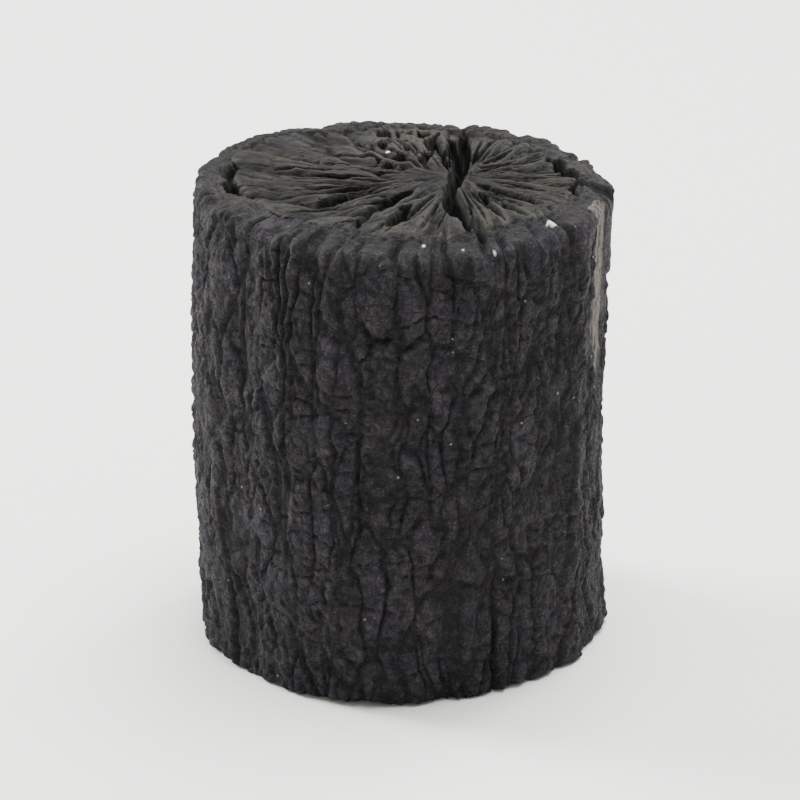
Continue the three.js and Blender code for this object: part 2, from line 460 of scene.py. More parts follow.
def section_radius(form, angle):
    """Radius of the branch's section: an oval that three and five lobes bend."""
    a, b = form.width / 2 - RELIEF_ROOM, form.depth / 2 - RELIEF_ROOM
    oval = a * b / np.hypot(b * np.cos(angle), a * np.sin(angle))
    return oval * (1 + sum(share * np.cos(count * angle + phase) for count, share, phase in LOBES))


def on_section(form, angle, z):
    """Points on the plain section, for noise to be read at."""
    radius = section_radius(form, angle)
    return np.stack([radius * np.cos(angle), radius * np.sin(angle), z], -1)


def wander(z, size, seed):
    """Sideways wander of a line that runs down the branch, from about -1 to 1."""
    return lumps(np.stack([0 * z, 0 * z, z], -1), size, seed, 3)


def across(form, angle, middle):
    """Distance round the branch from a line at an angle given in degrees."""
    turn = (np.degrees(angle) - middle + 180) % 360 - 180
    return np.radians(turn) * section_radius(form, angle)


def furrows(form, angle, z):
    """Height of the bark's long ridges, which wander as they run along the branch."""
    drift = np.sin(z / RIDGE_WANDER + 0.4)
    waves = [share * np.cos(count * angle + turn * drift) for count, share, turn in RIDGES]
    return form.furrow * sum(waves)


def scar(form, angle, z):
    """1 on the sliver at the right where a strip of bark tore away, 0 elsewhere."""
    torn = lumps(on_section(form, angle, z) * (1, 1, 0.35), 1.1, 57, 2)
    middle = SCAR_ANGLE + SCAR_LEAN * (form.length - z) + 1.2 * wander(z, 14.0, 56)
    aside = np.abs(across(form, angle, middle))
    narrow = smoothstep(SCAR_FOOT, SCAR_FOOT + SCAR_TAPER, z)
    narrow = narrow * smoothstep(form.length + SCAR_POINT, form.length - SCAR_NARROWS, z)
    return smoothstep(0.25, -0.25, aside - SCAR_WIDTH / 2 * narrow + 0.75 * torn) * (narrow > 0)


def bark_relief(form, angle, z):
    """Plates, fissures, splits and grit of the bark: its relief, and 1 on a plate's top."""
    at = on_section(form, angle, z)
    warp = np.stack([lumps(at, WARP_SIZE, seed, 3) for seed in (3, 4, 5)], -1) * WARP
    first, second, number = cells((at + warp) * (1, 1, 1 / PLATE_STRETCH), PLATE, 21)
    joined = smoothstep(0.05, 0.45, lumps(at, 8.0, 25, 2))
    plate = np.maximum(smoothstep(0.0, 0.17, second - first), 0.7 * joined)
    seam = np.abs(lumps((at + 0.8 * warp) * (1, 1, 1 / SEAM_STRETCH), SEAM, 27, 2))
    plate = plate * smoothstep(0.0, 0.16, seam)
    check_at = (at + 0.9 * warp) * (1 / CHECK_STRETCH, 1 / CHECK_STRETCH, 1.0)
    check = smoothstep(0.1, 0.0, np.abs(lumps(check_at, CHECK, 29, 2)))
    pebble_at = (at + 0.7 * warp) * (1, 1, 1 / PEBBLE_STRETCH)
    near, next_near, pebble_number = cells(pebble_at, PEBBLE, 31)
    pebble = smoothstep(0.0, 0.3, next_near - near)
    relief = (
        form.fissure * (plate - 1.0)
        - CHECK_DEPTH * check * plate
        + PLATE_STEP * (number - 0.5) * plate
        + PEBBLE_RISE * (pebble - 1.0)
        + PEBBLE_STEP * (pebble_number - 0.5) * pebble
        + SWELL_RISE * lumps(at, SWELL, 6, 2)
        + COARSE_GRIT_RISE * lumps(at * (1.0, 1.0, 0.6), COARSE_GRIT, 8, 3)
    )
    for start, top, bottom, width, depth in BARK_SPLITS:
        aside = np.abs(across(form, angle, start + 3.0 * wander(z, 9.0, 12)))
        along = np.clip((z - bottom) / (top - bottom), 0, 1)
        gape = np.sin(np.pi * along) ** 0.6 * (0.75 + 0.5 * wander(z, 5.0, 13))
        relief = relief - depth * gape * smoothstep(0.5 * width * gape + 0.2, 0.0, aside)
        plate = plate * (1 - gape * smoothstep(0.5 * width + 0.3, 0.2, aside))
    bare = scar(form, angle, z)
    relief = relief * (1 - 0.6 * bare) - SCAR_DEPTH * bare
    return relief, plate * (0.6 + 0.4 * pebble) * (1.0 - 0.5 * check)


def side_radius(form, angle, z):
    """Distance from the branch's axis to the bark, and how much it is a plate's top."""
    relief, plate = bark_relief(form, angle, z)
    return section_radius(form, angle) + furrows(form, angle, z) + relief, plate


def bow(form, z):
    """Sideways shift of the branch's axis."""
    return -form.sweep * np.sin(np.pi * z / form.length)


# ------------------------------------------------------------------ the sawn cuts

# Distance to the nearest crack that stands for none near.
FAR_FROM_CRACK = 9.0
# A crack that gapes at least this far lets light in on its walls.
WIDE_CRACK = 2.4
# Fine cracks: the least gape and the most that chance adds, their depth at no gape and how much
# each millimetre of gape adds, and the spread of their bends in radians.
RAY_GAPE, RAY_GAPE_MORE = 0.34, 0.75
RAY_DEPTH, RAY_DEPTH_MORE = 1.2, 3.4
RAY_BEND = 0.09
# Hairline between bark and wood: half its gape, and its depth.
HAIRLINE, HAIRLINE_DEPTH = 0.22, 0.9
# Petals, the tongues that part them further out, and fibres: how many to the radian, and the
# length along a ray in which they change. Last, how high the fibres are.
PETALS, PETAL_LENGTH = 5.5, 16.0
TONGUES, TONGUE_LENGTH = 10.0, 11.0
FIBRES, FIBRE_LENGTH, FIBRE_RISE = 17.0, 9.0, 0.12
# Growth rings from the pith to the rim, and how deep their grooves are.
RINGS, RING_GROOVE = 12, 0.12
# The cut bark's layers: how many to the radian, thickness and height. Its crumbs: width, height
# and how far they differ. Its tears: width and height.
LAYERS, LAYER_THICKNESS, LAYER_RISE = 7, 0.9, 0.9
CRUMB, CRUMB_RISE, CRUMB_STEP = 1.3, 0.25, 0.3
TEAR, TEAR_RISE = 1.6, 0.45
# Where, in degrees round the branch, the upper rim is most worn, and the bark thick and thin.
WORN_SIDE, THICK_SIDE, THIN_SIDE = -68, -143, 150
# Shares of the bark's thickness: what the worn and the thick side add, and what the thin side and
# the branch's narrower way take off.
WORN_ADDS, THICK_ADDS, THIN_TAKES, NARROW_TAKES = 0.35, 0.45, 0.45, 0.3
# The saw's waves on the upper cut: width and height.
SAW_WAVE, SAW_WAVE_RISE = 12.0, 0.35


def ragged(x, y, seed):
    """Small sideways shift of a crack's edge, as fibres tear."""
    at = np.stack([x, y, np.zeros_like(x)], -1)
    return 0.25 * lumps(at, 1.3, seed, 2)


def open_crack(lip, depth, width, crack):
    """Adds one crack to the map: lip is the distance outside its edge, and its walls slope in.

    A wide crack gets painted shade only down inside, and a fine one from its edge.
    """
    crack["lip"] = np.minimum(crack["lip"], lip)
    wall = np.minimum(1.0, (np.maximum(-lip, 0.0) / np.maximum(0.45 * width, 0.3)) ** 0.8)
    crack["depth"] = np.maximum(crack["depth"], depth * wall)
    # Painted shade: this mask darkens the crack where shade falls inside it.
    soot_and_painted_shade = smoothstep(0.25, -0.12, lip) if width < WIDE_CRACK else smoothstep(0.05, 0.6, wall)
    crack["soot_and_painted_shade"] = np.maximum(crack["soot_and_painted_shade"], soot_and_painted_shade)


def path_cracks(x, y, paths, crack, seed):
    """The wide cracks, each drawn out to nothing at both ends."""
    torn = ragged(x, y, seed)
    for path, width, depth in paths:
        distance, along = nearest_on_path(x, y, smooth_path(path))
        gape = np.sin(np.pi * (0.05 + 0.9 * along)) ** 0.55
        open_crack(distance + torn - 0.5 * width * gape, depth * gape, width, crack)


def ray_cracks(form, x, y, share, wood, crack, count, seed):
    """The fine cracks that follow the wood's rays out from the pith."""
    rng = np.random.default_rng(seed)
    reach = np.hypot(x - form.pith[0], y - form.pith[1])
    angle = np.arctan2(y - form.pith[1], x - form.pith[0])
    torn = ragged(x, y, seed + 1)
    for index in range(count):
        heading = 2 * np.pi * (index + rng.uniform(-0.35, 0.35)) / count
        start = rng.uniform(0.05, 0.2) + 0.3 * rng.random() ** 2
        stop = rng.uniform(0.6, 1.0)
        width = RAY_GAPE + RAY_GAPE_MORE * rng.random() ** 3
        bend = rng.normal(0.0, RAY_BEND)
        turn = angle - heading - bend * (share - start)
        turn = (turn + np.pi) % (2 * np.pi) - np.pi
        along = (share - start) / (stop - start)
        near = (np.abs(turn) * reach < 2.5) & (along > 0) & (along < 1) & (np.abs(turn) < 1)
        gape = np.sin(np.pi * along[near]) ** 0.5 * wood[near]
        lip = np.abs(turn[near]) * reach[near] + 0.6 * torn[near] - 0.5 * width * gape
        lip = lip + 0.4 * (1.0 - gape)
        part = {name: values[near] for name, values in crack.items()}
        open_crack(lip, (RAY_DEPTH + RAY_DEPTH_MORE * width) * gape, width, part)
        for name, values in part.items():
            crack[name][near] = values


def bark_gaps(x, y, inset, gaps, crack, seed):
    """The gap between bark and wood: a hairline all round that opens here and there."""
    angle = np.degrees(np.arctan2(y, x))
    at = np.stack([x, y, np.zeros_like(x)], -1)
    distance = np.abs(inset + 2.0 * ragged(x, y, seed))
    hairline = smoothstep(-0.25, 0.35, lumps(at, 5.0, seed + 3, 2))
    lip = distance - HAIRLINE * hairline + 0.1
    open_crack(lip, HAIRLINE_DEPTH * hairline, 2 * HAIRLINE, crack)
    for start, stop, width, depth in gaps:
        along = ((angle - start) % 360) / (stop - start)
        gape = np.where(along < 1, np.sin(np.pi * np.clip(along, 0, 1)), 0.0) ** 0.5
        open_crack(distance - 0.5 * width * gape + 0.3 * (1 - gape), depth * gape, width, crack)


def crumbled(x, y):
    """The patch where the char has broken up: its extent, its relief and 0 to 1 on a ridge."""
    at = np.stack([x, y, np.zeros_like(x)], -1)
    middle_x, middle_y = CRUMBLE_MIDDLE
    reach = np.hypot((x - middle_x) / CRUMBLE_HALF[0], (y - middle_y) / CRUMBLE_HALF[1])
    patch = smoothstep(1.0, 0.8, reach + 0.22 * lumps(at, 4.0, 71, 2))
    torn = at + 1.0 * np.stack([lumps(at, 2.4, seed, 3) for seed in (74, 75, 76)], -1)
    first, second, number = cells(torn * (1, 1 / PIT_STRETCH, 1), PIT, 73)
    pit = smoothstep(0.1, 0.42, second - first) * smoothstep(0.1, 0.4, number)
    ridge_top = 0.8 * lumps(at, 3.2, 79, 2) + 0.25 * lumps(at, 0.9, 77, 3)
    return patch, patch * (0.5 + ridge_top - PIT_DEPTH * pit * (0.5 + number)), 1.0 - pit


def worn(angle):
    """1 where the bark's upper edge is worn down most, at the front, fading out to both sides."""
    return np.clip(np.cos(angle - np.radians(WORN_SIDE)), 0, 1)


def front_left(angle):
    """1 at the lump's front left, fading out a quarter turn away."""
    return np.clip(np.cos(angle - np.radians(THICK_SIDE)), 0, 1) ** 2


def bark_thickness(form, angle):
    """Thickness of the bark: less at the back, least at the back left, and more in front."""
    back_left = np.clip(np.cos(angle - np.radians(THIN_SIDE)), 0, 1) ** 4
    thicker = WORN_ADDS * worn(angle) ** 2 + THICK_ADDS * front_left(angle)
    thinner = NARROW_TAKES * np.sin(angle) ** 2 + THIN_TAKES * back_left
    return form.bark * (1.0 + thicker - thinner)


def fan(angle, reach, count, length, seed):
    """Noise round a centre: 0 in its valleys, `count` of them to the radian, new each `length`."""
    at = np.stack([count * np.cos(angle), count * np.sin(angle), reach / length], -1)
    return np.abs(lumps(at, 1.0, seed, 2))


def ridge(valley):
    """A rounded ridge between sharp valleys, from -1 to about 1."""
    return 2.2 * np.sqrt(valley) - 1.0


def sawn_bark(at, around, inset, seed):
    """Bark on a cut, in layers that crumble: its relief, and its layers and crumbs from 0 to 1."""
    crumb_at = at + 0.4 * lumps(at, 1.0, seed + 67, 2)[..., None]
    first, second, number = cells(crumb_at, CRUMB, seed + 65)
    crumb = smoothstep(0.0, 0.35, second - first)
    layer = np.sqrt(fan(around, inset, LAYERS, LAYER_THICKNESS, seed + 68))
    relief = (
        LAYER_RISE * (layer - 0.6)
        + CRUMB_RISE * (crumb - 1.0)
        + CRUMB_STEP * (number - 0.5) * crumb
        + TEAR_RISE * lumps(at, TEAR, seed + 62, 3)
        + 0.3 * lumps(at, 4.5, seed + 63)
    )
    return relief, layer, crumb


def cut_surface(form, x, y, share, paths, gaps, rays, seed):
    """Relief of a sawn cut, measured outwards, with the maps that its finish is drawn from."""
    around = np.arctan2(y, x)
    inset = section_radius(form, around) - np.hypot(x, y)
    at = np.stack([x, y, np.zeros_like(x)], -1)
    reach = np.hypot(x - form.pith[0], y - form.pith[1])
    angle = np.arctan2(y - form.pith[1], x - form.pith[0]) + 0.006 * reach

    # Ridges that fan out from the pith.
    petal = fan(angle, reach, PETALS, PETAL_LENGTH, seed + 50)
    tongue = fan(angle, reach, TONGUES, TONGUE_LENGTH, seed + 52)
    fibre = fan(angle, reach, FIBRES, FIBRE_LENGTH, seed + 55)
    far = smoothstep(13.0, 24.0, reach)
    ridges = ridge(petal) * smoothstep(1.0, 7.0, reach) + 0.5 * far * ridge(tongue)

    # The wood meets the bark along a torn line, furthest out where a ridge ends.
    torn = 0.7 * lumps(at, 5.0, seed + 40, 2) + ridge(petal) + 0.5 * ridge(tongue)
    inside_bark = inset - bark_thickness(form, around) + torn
    bark = smoothstep(0.4, -0.3, inside_bark)
    wood = 1.0 - bark
    ring = share * RINGS + 0.35 * lumps(at, 8.0, seed + 60)

    crack = {
        "lip": np.full(x.shape, FAR_FROM_CRACK),
        "depth": np.zeros(x.shape),
        "soot_and_painted_shade": np.zeros(x.shape),
    }
    path_cracks(x, y, paths, crack, seed)
    ray_cracks(form, x, y, share, wood, crack, rays, seed + 2)
    bark_gaps(x, y, inside_bark, gaps, crack, seed + 9)
    lip = np.maximum(crack["lip"], 0.0)

    bark_rise, layer, crumb = sawn_bark(at, around, inset, seed)
    groove = smoothstep(0.3, 0.0, np.abs(ring % 1.0 - 0.5)) * (0.6 + lumps(at, 1.0, seed + 66))
    relief = (
        wood * (0.2 + form.petal * ridges + FIBRE_RISE * ridge(fibre) * smoothstep(3.0, 9.0, reach))
        - wood * 0.5 * np.exp(-lip / 0.55)
        - wood * RING_GROOVE * groove
        + wood * 0.08 * lumps(at, 0.7, seed + 61, 2)
        + bark * bark_rise
    )
    # Painted shade: the valleys between petals are darkened in colour.
    valley = np.minimum(petal, tongue + 0.2 * (1.0 - far))
    painted_valley_shade = 0.75 * wood * smoothstep(0.16, 0.0, valley) * smoothstep(2.0, 8.0, reach)
    # Painted highlights: the crests of the petals and the lips of the cracks are made lighter in
    # colour.
    painted_crest_highlight = wood * smoothstep(0.25, 0.5, valley) * smoothstep(4.0, 12.0, reach)
    painted_lip_highlight = wood * np.exp(-(((lip - 0.35) / 0.4) ** 2))
    worn_dark = worn(around) ** 2
    pale_bark = 0.5 * bark * (1.0 - worn_dark) * smoothstep(0.3, 0.65, layer)
    plate = smoothstep(0.1, 0.6, layer) * (0.3 + 0.3 * crumb) * (1.0 - 0.8 * worn_dark)
    # The edge map holds painted highlights and the paler bark layers; the crack map holds painted
    # shade.
    maps = {
        "bark": bark,
        "ring": ring,
        "crack": np.maximum(crack["soot_and_painted_shade"], painted_valley_shade),
        "edge": np.maximum.reduce([painted_lip_highlight, 0.7 * painted_crest_highlight, pale_bark]),
        "plate": plate,
        "scar": scar(form, around, form.length + 0 * x) * smoothstep(2.2, 1.0, inset),
    }
    return relief, crack["depth"], maps


def top_plane(form, x, y):
    """The upper cut as the saw left it: sloping back and slightly dished at the pith."""
    at = np.stack([x, y, np.zeros_like(x)], -1)
    reach = np.hypot(x - form.pith[0], y - form.pith[1]) / (form.width / 2)
    dish = form.dish * np.clip(1 - reach**2, 0, 1)
    fall = form.top_fall * (y / form.depth + 0.5)
    wave = SAW_WAVE_RISE * (lumps(at, SAW_WAVE, 80) - 1.0)
    return form.length - fall - dish + wave


def bark_stand(form, x, y, bark):
    """Height of the cut over the wood's own level: the bark stands proud, least at the front."""
    around = np.arctan2(y, x)
    front = np.clip(-np.sin(around), 0, 1) ** 2
    return form.bark_proud * bark * (1.0 - 0.8 * front + front_left(around)) - form.bark_proud


# ------------------------------------------------------------------ the mesh

# The bake's map: a disc for each cut, and below them a strip for the side.
BASE_DISC, TOP_DISC, DISC_RADIUS = np.array((0.25, 0.75)), np.array((0.75, 0.75)), 0.24
STRIP_CORNER, STRIP_SIZE = np.array((0.005, 0.01)), np.array((0.99, 0.47))
# The notches that cracks leave in the front of the upper rim: how many, the angle where they start
# and the angle that they spread over, in degrees.
NOTCHES, NOTCH_START, NOTCH_SPREAD = 12, -160, 145
# Each cut and rim has its own chance pattern.
TOP_SEED, BASE_SEED, BASE_RIM_SEED, TOP_RIM_SEED, NOTCH_SEED = 100, 200, 91, 95, 31
# How wide the upper rim blends into the cut, and how much wider where it is worn most. There it is
# also worn back and down.
RIM_SLOPE, WORN_SLOPE, WORN_BACK, WORN_DOWN = 2.2, 4.5, 1.1, 1.7
# How much the sawn bark looks like the branch's outer skin, where the rim isn't worn.
CUT_BARK = 0.65


def face_points(form, edge_x, edge_y, shares):
    """Rows of points from the pith to the edge of a cut."""
    x = form.pith[0] + shares[:, None] * (edge_x - form.pith[0])
    y = form.pith[1] + shares[:, None] * (edge_y - form.pith[1])
    return x, y


def rim_chips(form, angle, seed):
    """How chipped the bark's edge is round a cut, and how far it is worn away."""
    at = on_section(form, angle, np.zeros_like(angle))
    front = np.clip(-np.sin(angle + 0.35), 0, 1) ** 2
    chip = smoothstep(0.2 - 0.25 * front, 0.55, lumps(at, 3.0, seed, 2)) * (1 + 0.4 * front)
    return chip, form.rim_wear * (0.85 + 0.5 * lumps(at, 5.0, seed + 1) + 0.8 * chip)


def rim_notches(form, angle):
    """Depth of the V-shaped notches along the front of the upper rim."""
    rng = np.random.default_rng(NOTCH_SEED)
    notch = np.zeros_like(angle)
    for index in range(NOTCHES):
        middle = NOTCH_START + NOTCH_SPREAD * (index + rng.uniform(-0.4, 0.4)) / NOTCHES
        half = rng.uniform(0.35, 1.1)
        depth = rng.uniform(0.4, 1.5)
        aside = np.abs(across(form, angle, middle))
        notch = np.maximum(notch, depth * np.clip(1 - aside / half, 0, 1))
    return notch


def side_rows_between(wear_low, wear_high, top, side_rows, rim_rows):
    """Heights and insets of the side's rows, rounded over into both cuts."""
    turns = np.linspace(0.0, np.pi / 2, rim_rows + 1)[1:, None]
    over = turns[::-1][1:]
    share = np.linspace(0.0, 1.0, side_rows + 1)[1:, None]
    middle = wear_low + (top - wear_high - wear_low) * share
    z = np.vstack([wear_low * (1 - np.cos(turns)), middle, top - wear_high * (1 - np.cos(over))])
    inset = np.vstack([wear_low * (1 - np.sin(turns)), 0 * middle, wear_high * (1 - np.sin(over))])
    return z, inset


def lower_cut(form, angle, wear):
    """Rows from the pith to the rim. What stands on the floor is flat: relief only goes inwards."""
    radius, _ = side_radius(form, angle, np.zeros_like(angle))
    edge = radius - wear
    shares = np.linspace(0.012, 1.0, form.base_rows)
    x, y = face_points(form, edge * np.cos(angle), edge * np.sin(angle), shares)
    share = np.broadcast_to(shares[:, None], x.shape)
    relief, depth, maps = cut_surface(
        form, x, y, share, BASE_CRACKS, BASE_BARK_GAPS, form.base_rays, BASE_SEED
    )
    hollow = (np.clip(0.25 - relief, 0.0, None) + depth) * smoothstep(1.0, 0.9, share)
    return np.stack([x, y, hollow], -1), maps


def upper_cut(form, rim):
    """Rows from the rim to the pith of the upper cut, with the crumbled patch."""
    shares = np.linspace(1.0, 0.0, form.top_rows, endpoint=False)[1:]
    x, y = face_points(form, rim[:, 0], rim[:, 1], shares)
    share = np.broadcast_to(shares[:, None], x.shape)
    relief, depth, maps = cut_surface(
        form, x, y, share, TOP_CRACKS, TOP_BARK_GAPS, form.top_rays, TOP_SEED
    )
    patch, net, ridged = crumbled(x, y)
    height = top_plane(form, x, y) + bark_stand(form, x, y, maps["bark"])
    height = height + relief * (1 - 0.8 * patch) + net
    slope = RIM_SLOPE + WORN_SLOPE * worn(np.arctan2(y, x))
    blend = smoothstep(0.0, 1.0, np.hypot(x - rim[:, 0], y - rim[:, 1]) / slope)
    height = rim[:, 2] + (height - rim[:, 2]) * blend
    # On the crumbled patch the ridge crowns get painted highlight and the pits painted shade.
    maps["edge"] = np.maximum(maps["edge"] * (1 - patch), patch * smoothstep(0.6, 1.0, ridged))
    between = patch * smoothstep(0.6, 0.2, ridged)
    maps["crack"] = np.maximum(maps["crack"] * smoothstep(0.0, 1.0, blend), between)
    maps["bark"] = maps["bark"] * (CUT_BARK + (1.0 - CUT_BARK) * worn(np.arctan2(y, x)) ** 2)
    return np.stack([x, y, height - depth * smoothstep(0.0, 0.5, blend)], -1), maps


def lump_grid(form):
    """Rows of points over the whole lump from the base's pith to the top's, with their maps."""
    angle = 2 * np.pi * np.arange(form.columns) / form.columns
    _, wear_low = rim_chips(form, angle, BASE_RIM_SEED)
    lower, lower_maps = lower_cut(form, angle, wear_low)

    chip, wear_high = rim_chips(form, angle, TOP_RIM_SEED)
    notch = rim_notches(form, angle)
    wear_high = wear_high + 0.4 * notch + WORN_BACK * worn(angle)
    radius, _ = side_radius(form, angle, np.full_like(angle, form.length - 1.0))
    rim_x = (radius - wear_high) * np.cos(angle)
    rim_y = (radius - wear_high) * np.sin(angle)
    rim_top = top_plane(form, rim_x, rim_y) + bark_stand(form, rim_x, rim_y, 1.0)
    rim_top = rim_top - chip - notch - WORN_DOWN * worn(angle)
    z, inset = side_rows_between(wear_low, wear_high, rim_top, form.side_rows, form.rim_rows)
    wide = np.broadcast_to(angle, z.shape)
    radius, plate = side_radius(form, wide, z)
    radius = radius - inset
    side = np.stack([radius * np.cos(wide) + bow(form, z), radius * np.sin(wide), z], -1)
    side_maps = {"bark": np.ones_like(z), "plate": plate, "scar": scar(form, wide, z)}

    upper, upper_maps = upper_cut(form, side[-1])
    points = np.vstack([lower, side, upper])
    maps = {}
    for name in ("bark", "ring", "crack", "edge", "plate", "scar"):
        blocks = ((lower, lower_maps), (side, side_maps), (upper, upper_maps))
        maps[name] = np.vstack([part.get(name, np.zeros(rows.shape[:2])) for rows, part in blocks])
    return points, maps


def ash_and_glint_map(form, points):
    """1 on the white flakes on the upper rim and face, 0 elsewhere."""
    # The flakes are part ash and part painted glints.
    torn = lumps(points, 0.6, 55, 2)
    ash_and_painted_glint = np.zeros(torn.shape)
    upper = points[..., 2] > form.length - 9
    for (flake_x, flake_y), radius in ASH_AND_GLINT_FLAKES:
        beside = np.hypot(points[..., 0] - flake_x, points[..., 1] - flake_y)
        height = np.where(upper & (beside < 0.6), points[..., 2], 0.0)
        centre = points.reshape(-1, 3)[np.argmax(height)]
        distance = np.linalg.norm(points - centre, axis=-1) * (1 + 0.4 * torn)
        ash_and_painted_glint = np.maximum(ash_and_painted_glint, smoothstep(radius, 0.75 * radius, distance))
    return ash_and_painted_glint


def unrolled(rows, columns, base_rows, top_rows):
    """A place on the bake's map for each corner of each facet row: two discs above a long strip."""
    turn = np.arange(columns + 1) / columns
    around = np.stack([np.cos(2 * np.pi * turn), np.sin(2 * np.pi * turn)], -1)
    side_rows = rows - base_rows - top_rows
    places = np.zeros((rows - 1, 2, columns + 1, 2))
    for row in range(rows - 1):
        for edge in (0, 1):
            line = row + edge
            if row < base_rows:
                place = BASE_DISC + DISC_RADIUS * (line + 1) / (base_rows + 1) * around
            elif row >= rows - 1 - top_rows:
                place = TOP_DISC + DISC_RADIUS * (rows - line) / (top_rows + 1) * around
            else:
                up = np.full_like(turn, (line - base_rows) / (side_rows - 1))
                place = STRIP_CORNER + STRIP_SIZE * np.stack([turn, up], -1)
            places[row, edge] = place
    return places


def closed_mesh(name, points, maps, base_rows, top_rows):
    """One closed mesh from rows of points that go from the base's pith to the top's."""
    rows, columns = points.shape[:2]
    first = points[0].mean(axis=0)
    last = points[-1].mean(axis=0)
    vertices = np.vstack([points.reshape(-1, 3), first, last]) * MM
    index = np.arange(rows * columns).reshape(rows, columns)
    beside = np.roll(index, -1, axis=1)
    quads = np.stack([index[:-1], beside[:-1], beside[1:], index[1:]], -1).reshape(-1, 4)
    base_fan = np.stack([np.full(columns, rows * columns), beside[0], index[0]], -1)
    top_fan = np.stack([np.full(columns, rows * columns + 1), index[-1], beside[-1]], -1)
    mesh = bpy.data.meshes.new(name)
    facets = [*quads.tolist(), *base_fan.tolist(), *top_fan.tolist()]
    mesh.from_pydata(vertices.tolist(), [], facets)

    places = unrolled(rows, columns, base_rows, top_rows)
    low, high = places[:, 0], places[:, 1]
    corners = np.stack([low[:, :-1], low[:, 1:], high[:, 1:], high[:, :-1]], 2).reshape(-1, 2)
    inner, outer = low[0], high[-1]
    base_middle = np.broadcast_to(BASE_DISC, (columns, 2))
    top_middle = np.broadcast_to(TOP_DISC, (columns, 2))
    base_corners = np.stack([base_middle, inner[1:], inner[:-1]], 1).reshape(-1, 2)
    top_corners = np.stack([top_middle, outer[:-1], outer[1:]], 1).reshape(-1, 2)
    layer = mesh.uv_layers.new(name="OFBake")
    layer.uv.foreach_set("vector", np.vstack([corners, base_corners, top_corners]).ravel())

    for label, values in maps.items():
        flat = np.concatenate([values.reshape(-1), [values[0].mean(), values[-1].mean()]])
        mesh.attributes.new(label, "FLOAT", "POINT").data.foreach_set("value", flat)
    mesh.shade_smooth()
    mesh.update()
    return mesh


# ------------------------------------------------------------------ materials

MATH = "ShaderNodeMath"
VECTOR = "ShaderNodeVectorMath"
RANGE = "ShaderNodeMapRange"
MIX = "ShaderNodeMix"
NOISE = "ShaderNodeTexNoise"
VORONOI = "ShaderNodeTexVoronoi"
TIMES = {"operation": "MULTIPLY"}
PLUS = {"operation": "ADD"}
MINUS = {"operation": "SUBTRACT"}
TIMES_PLUS = {"operation": "MULTIPLY_ADD"}
SMOOTH = {"interpolation_type": "SMOOTHSTEP"}
COLOUR = {"data_type": "RGBA"}
VALUE = {"data_type": "FLOAT"}

# Sizes of the char's patterns, in millimetres. Streaks along the rays: how wide they are at a
# distance from the pith, and how long.
RAY_SPACING, RAY_REACH, RAY_LENGTH = 0.7, 15.0, 6.5
FIBRE = 0.25
# Spring pores crowd together in oak, and are 0.3 mm across: spacing, and radius at rim and floor.
PORE_SPACING, PORE_RIM, PORE_FLOOR = 0.6, 0.204, 0.108
# The bark's skin shrinks into a net of hairline cracks.
CRAZE_SPACING = 1.3
# Mottling of the bark, and its grains of soot.
MOTTLE = 1.25
GRIT = 0.33
# Ash specks: their spacing, the share of places that has one, and their radius.
SPECK_SPACING, SPECK_SHARE, SPECK = 2.6, 0.17, 0.26
# Fibres of the strip where bark tore away: width, and how fast they change along the branch
# against across it.
STRAND, STRAND_DRIFT = 0.45, 0.07
# Patches of soot, and of a browner or bluer tint.
BLOTCH = 9.0
TINT = 5.5
# Depth that the bump's full range stands for: single torn fibres and grains of soot.
GRAIN_DEPTH = 0.36
# Char reflects as a dense solid does, but its open pores swallow more than half of that.
CHAR_IOR, CHAR_SPECULAR = 1.5, 0.2


def add(tree, kind, settings=None, *values, **named):
    """Adds a node with its settings and links.

    Values fill its sockets in order and named ones go by the socket's name. Each is a number, a
    colour, a socket, or a node, which gives its first output.
    """
    node = tree.nodes.new(kind)
    for name, setting in (settings or {}).items():
        setattr(node, name, setting)
    sockets = [socket for socket in node.inputs if socket.enabled]
    pairs = list(zip(sockets, values))
    pairs += [(node.inputs[name.replace("_", " ")], value) for name, value in named.items()]
    for socket, value in pairs:
        if isinstance(value, bpy.types.Node):
            value = next(output for output in value.outputs if output.enabled)
        if isinstance(value, bpy.types.NodeSocket):
            tree.links.new(value, socket)
        else:
            socket.default_value = value
    return node


def mesh_maps(tree):
    """The maps that the mesh carries, by name."""
    names = ("bark", "ring", "crack", "edge", "plate", "scar", "ash_and_painted_glint")
    reads = [add(tree, "ShaderNodeAttribute", {"attribute_name": name}) for name in names]
    return {name: read.outputs["Fac"] for name, read in zip(names, reads)}


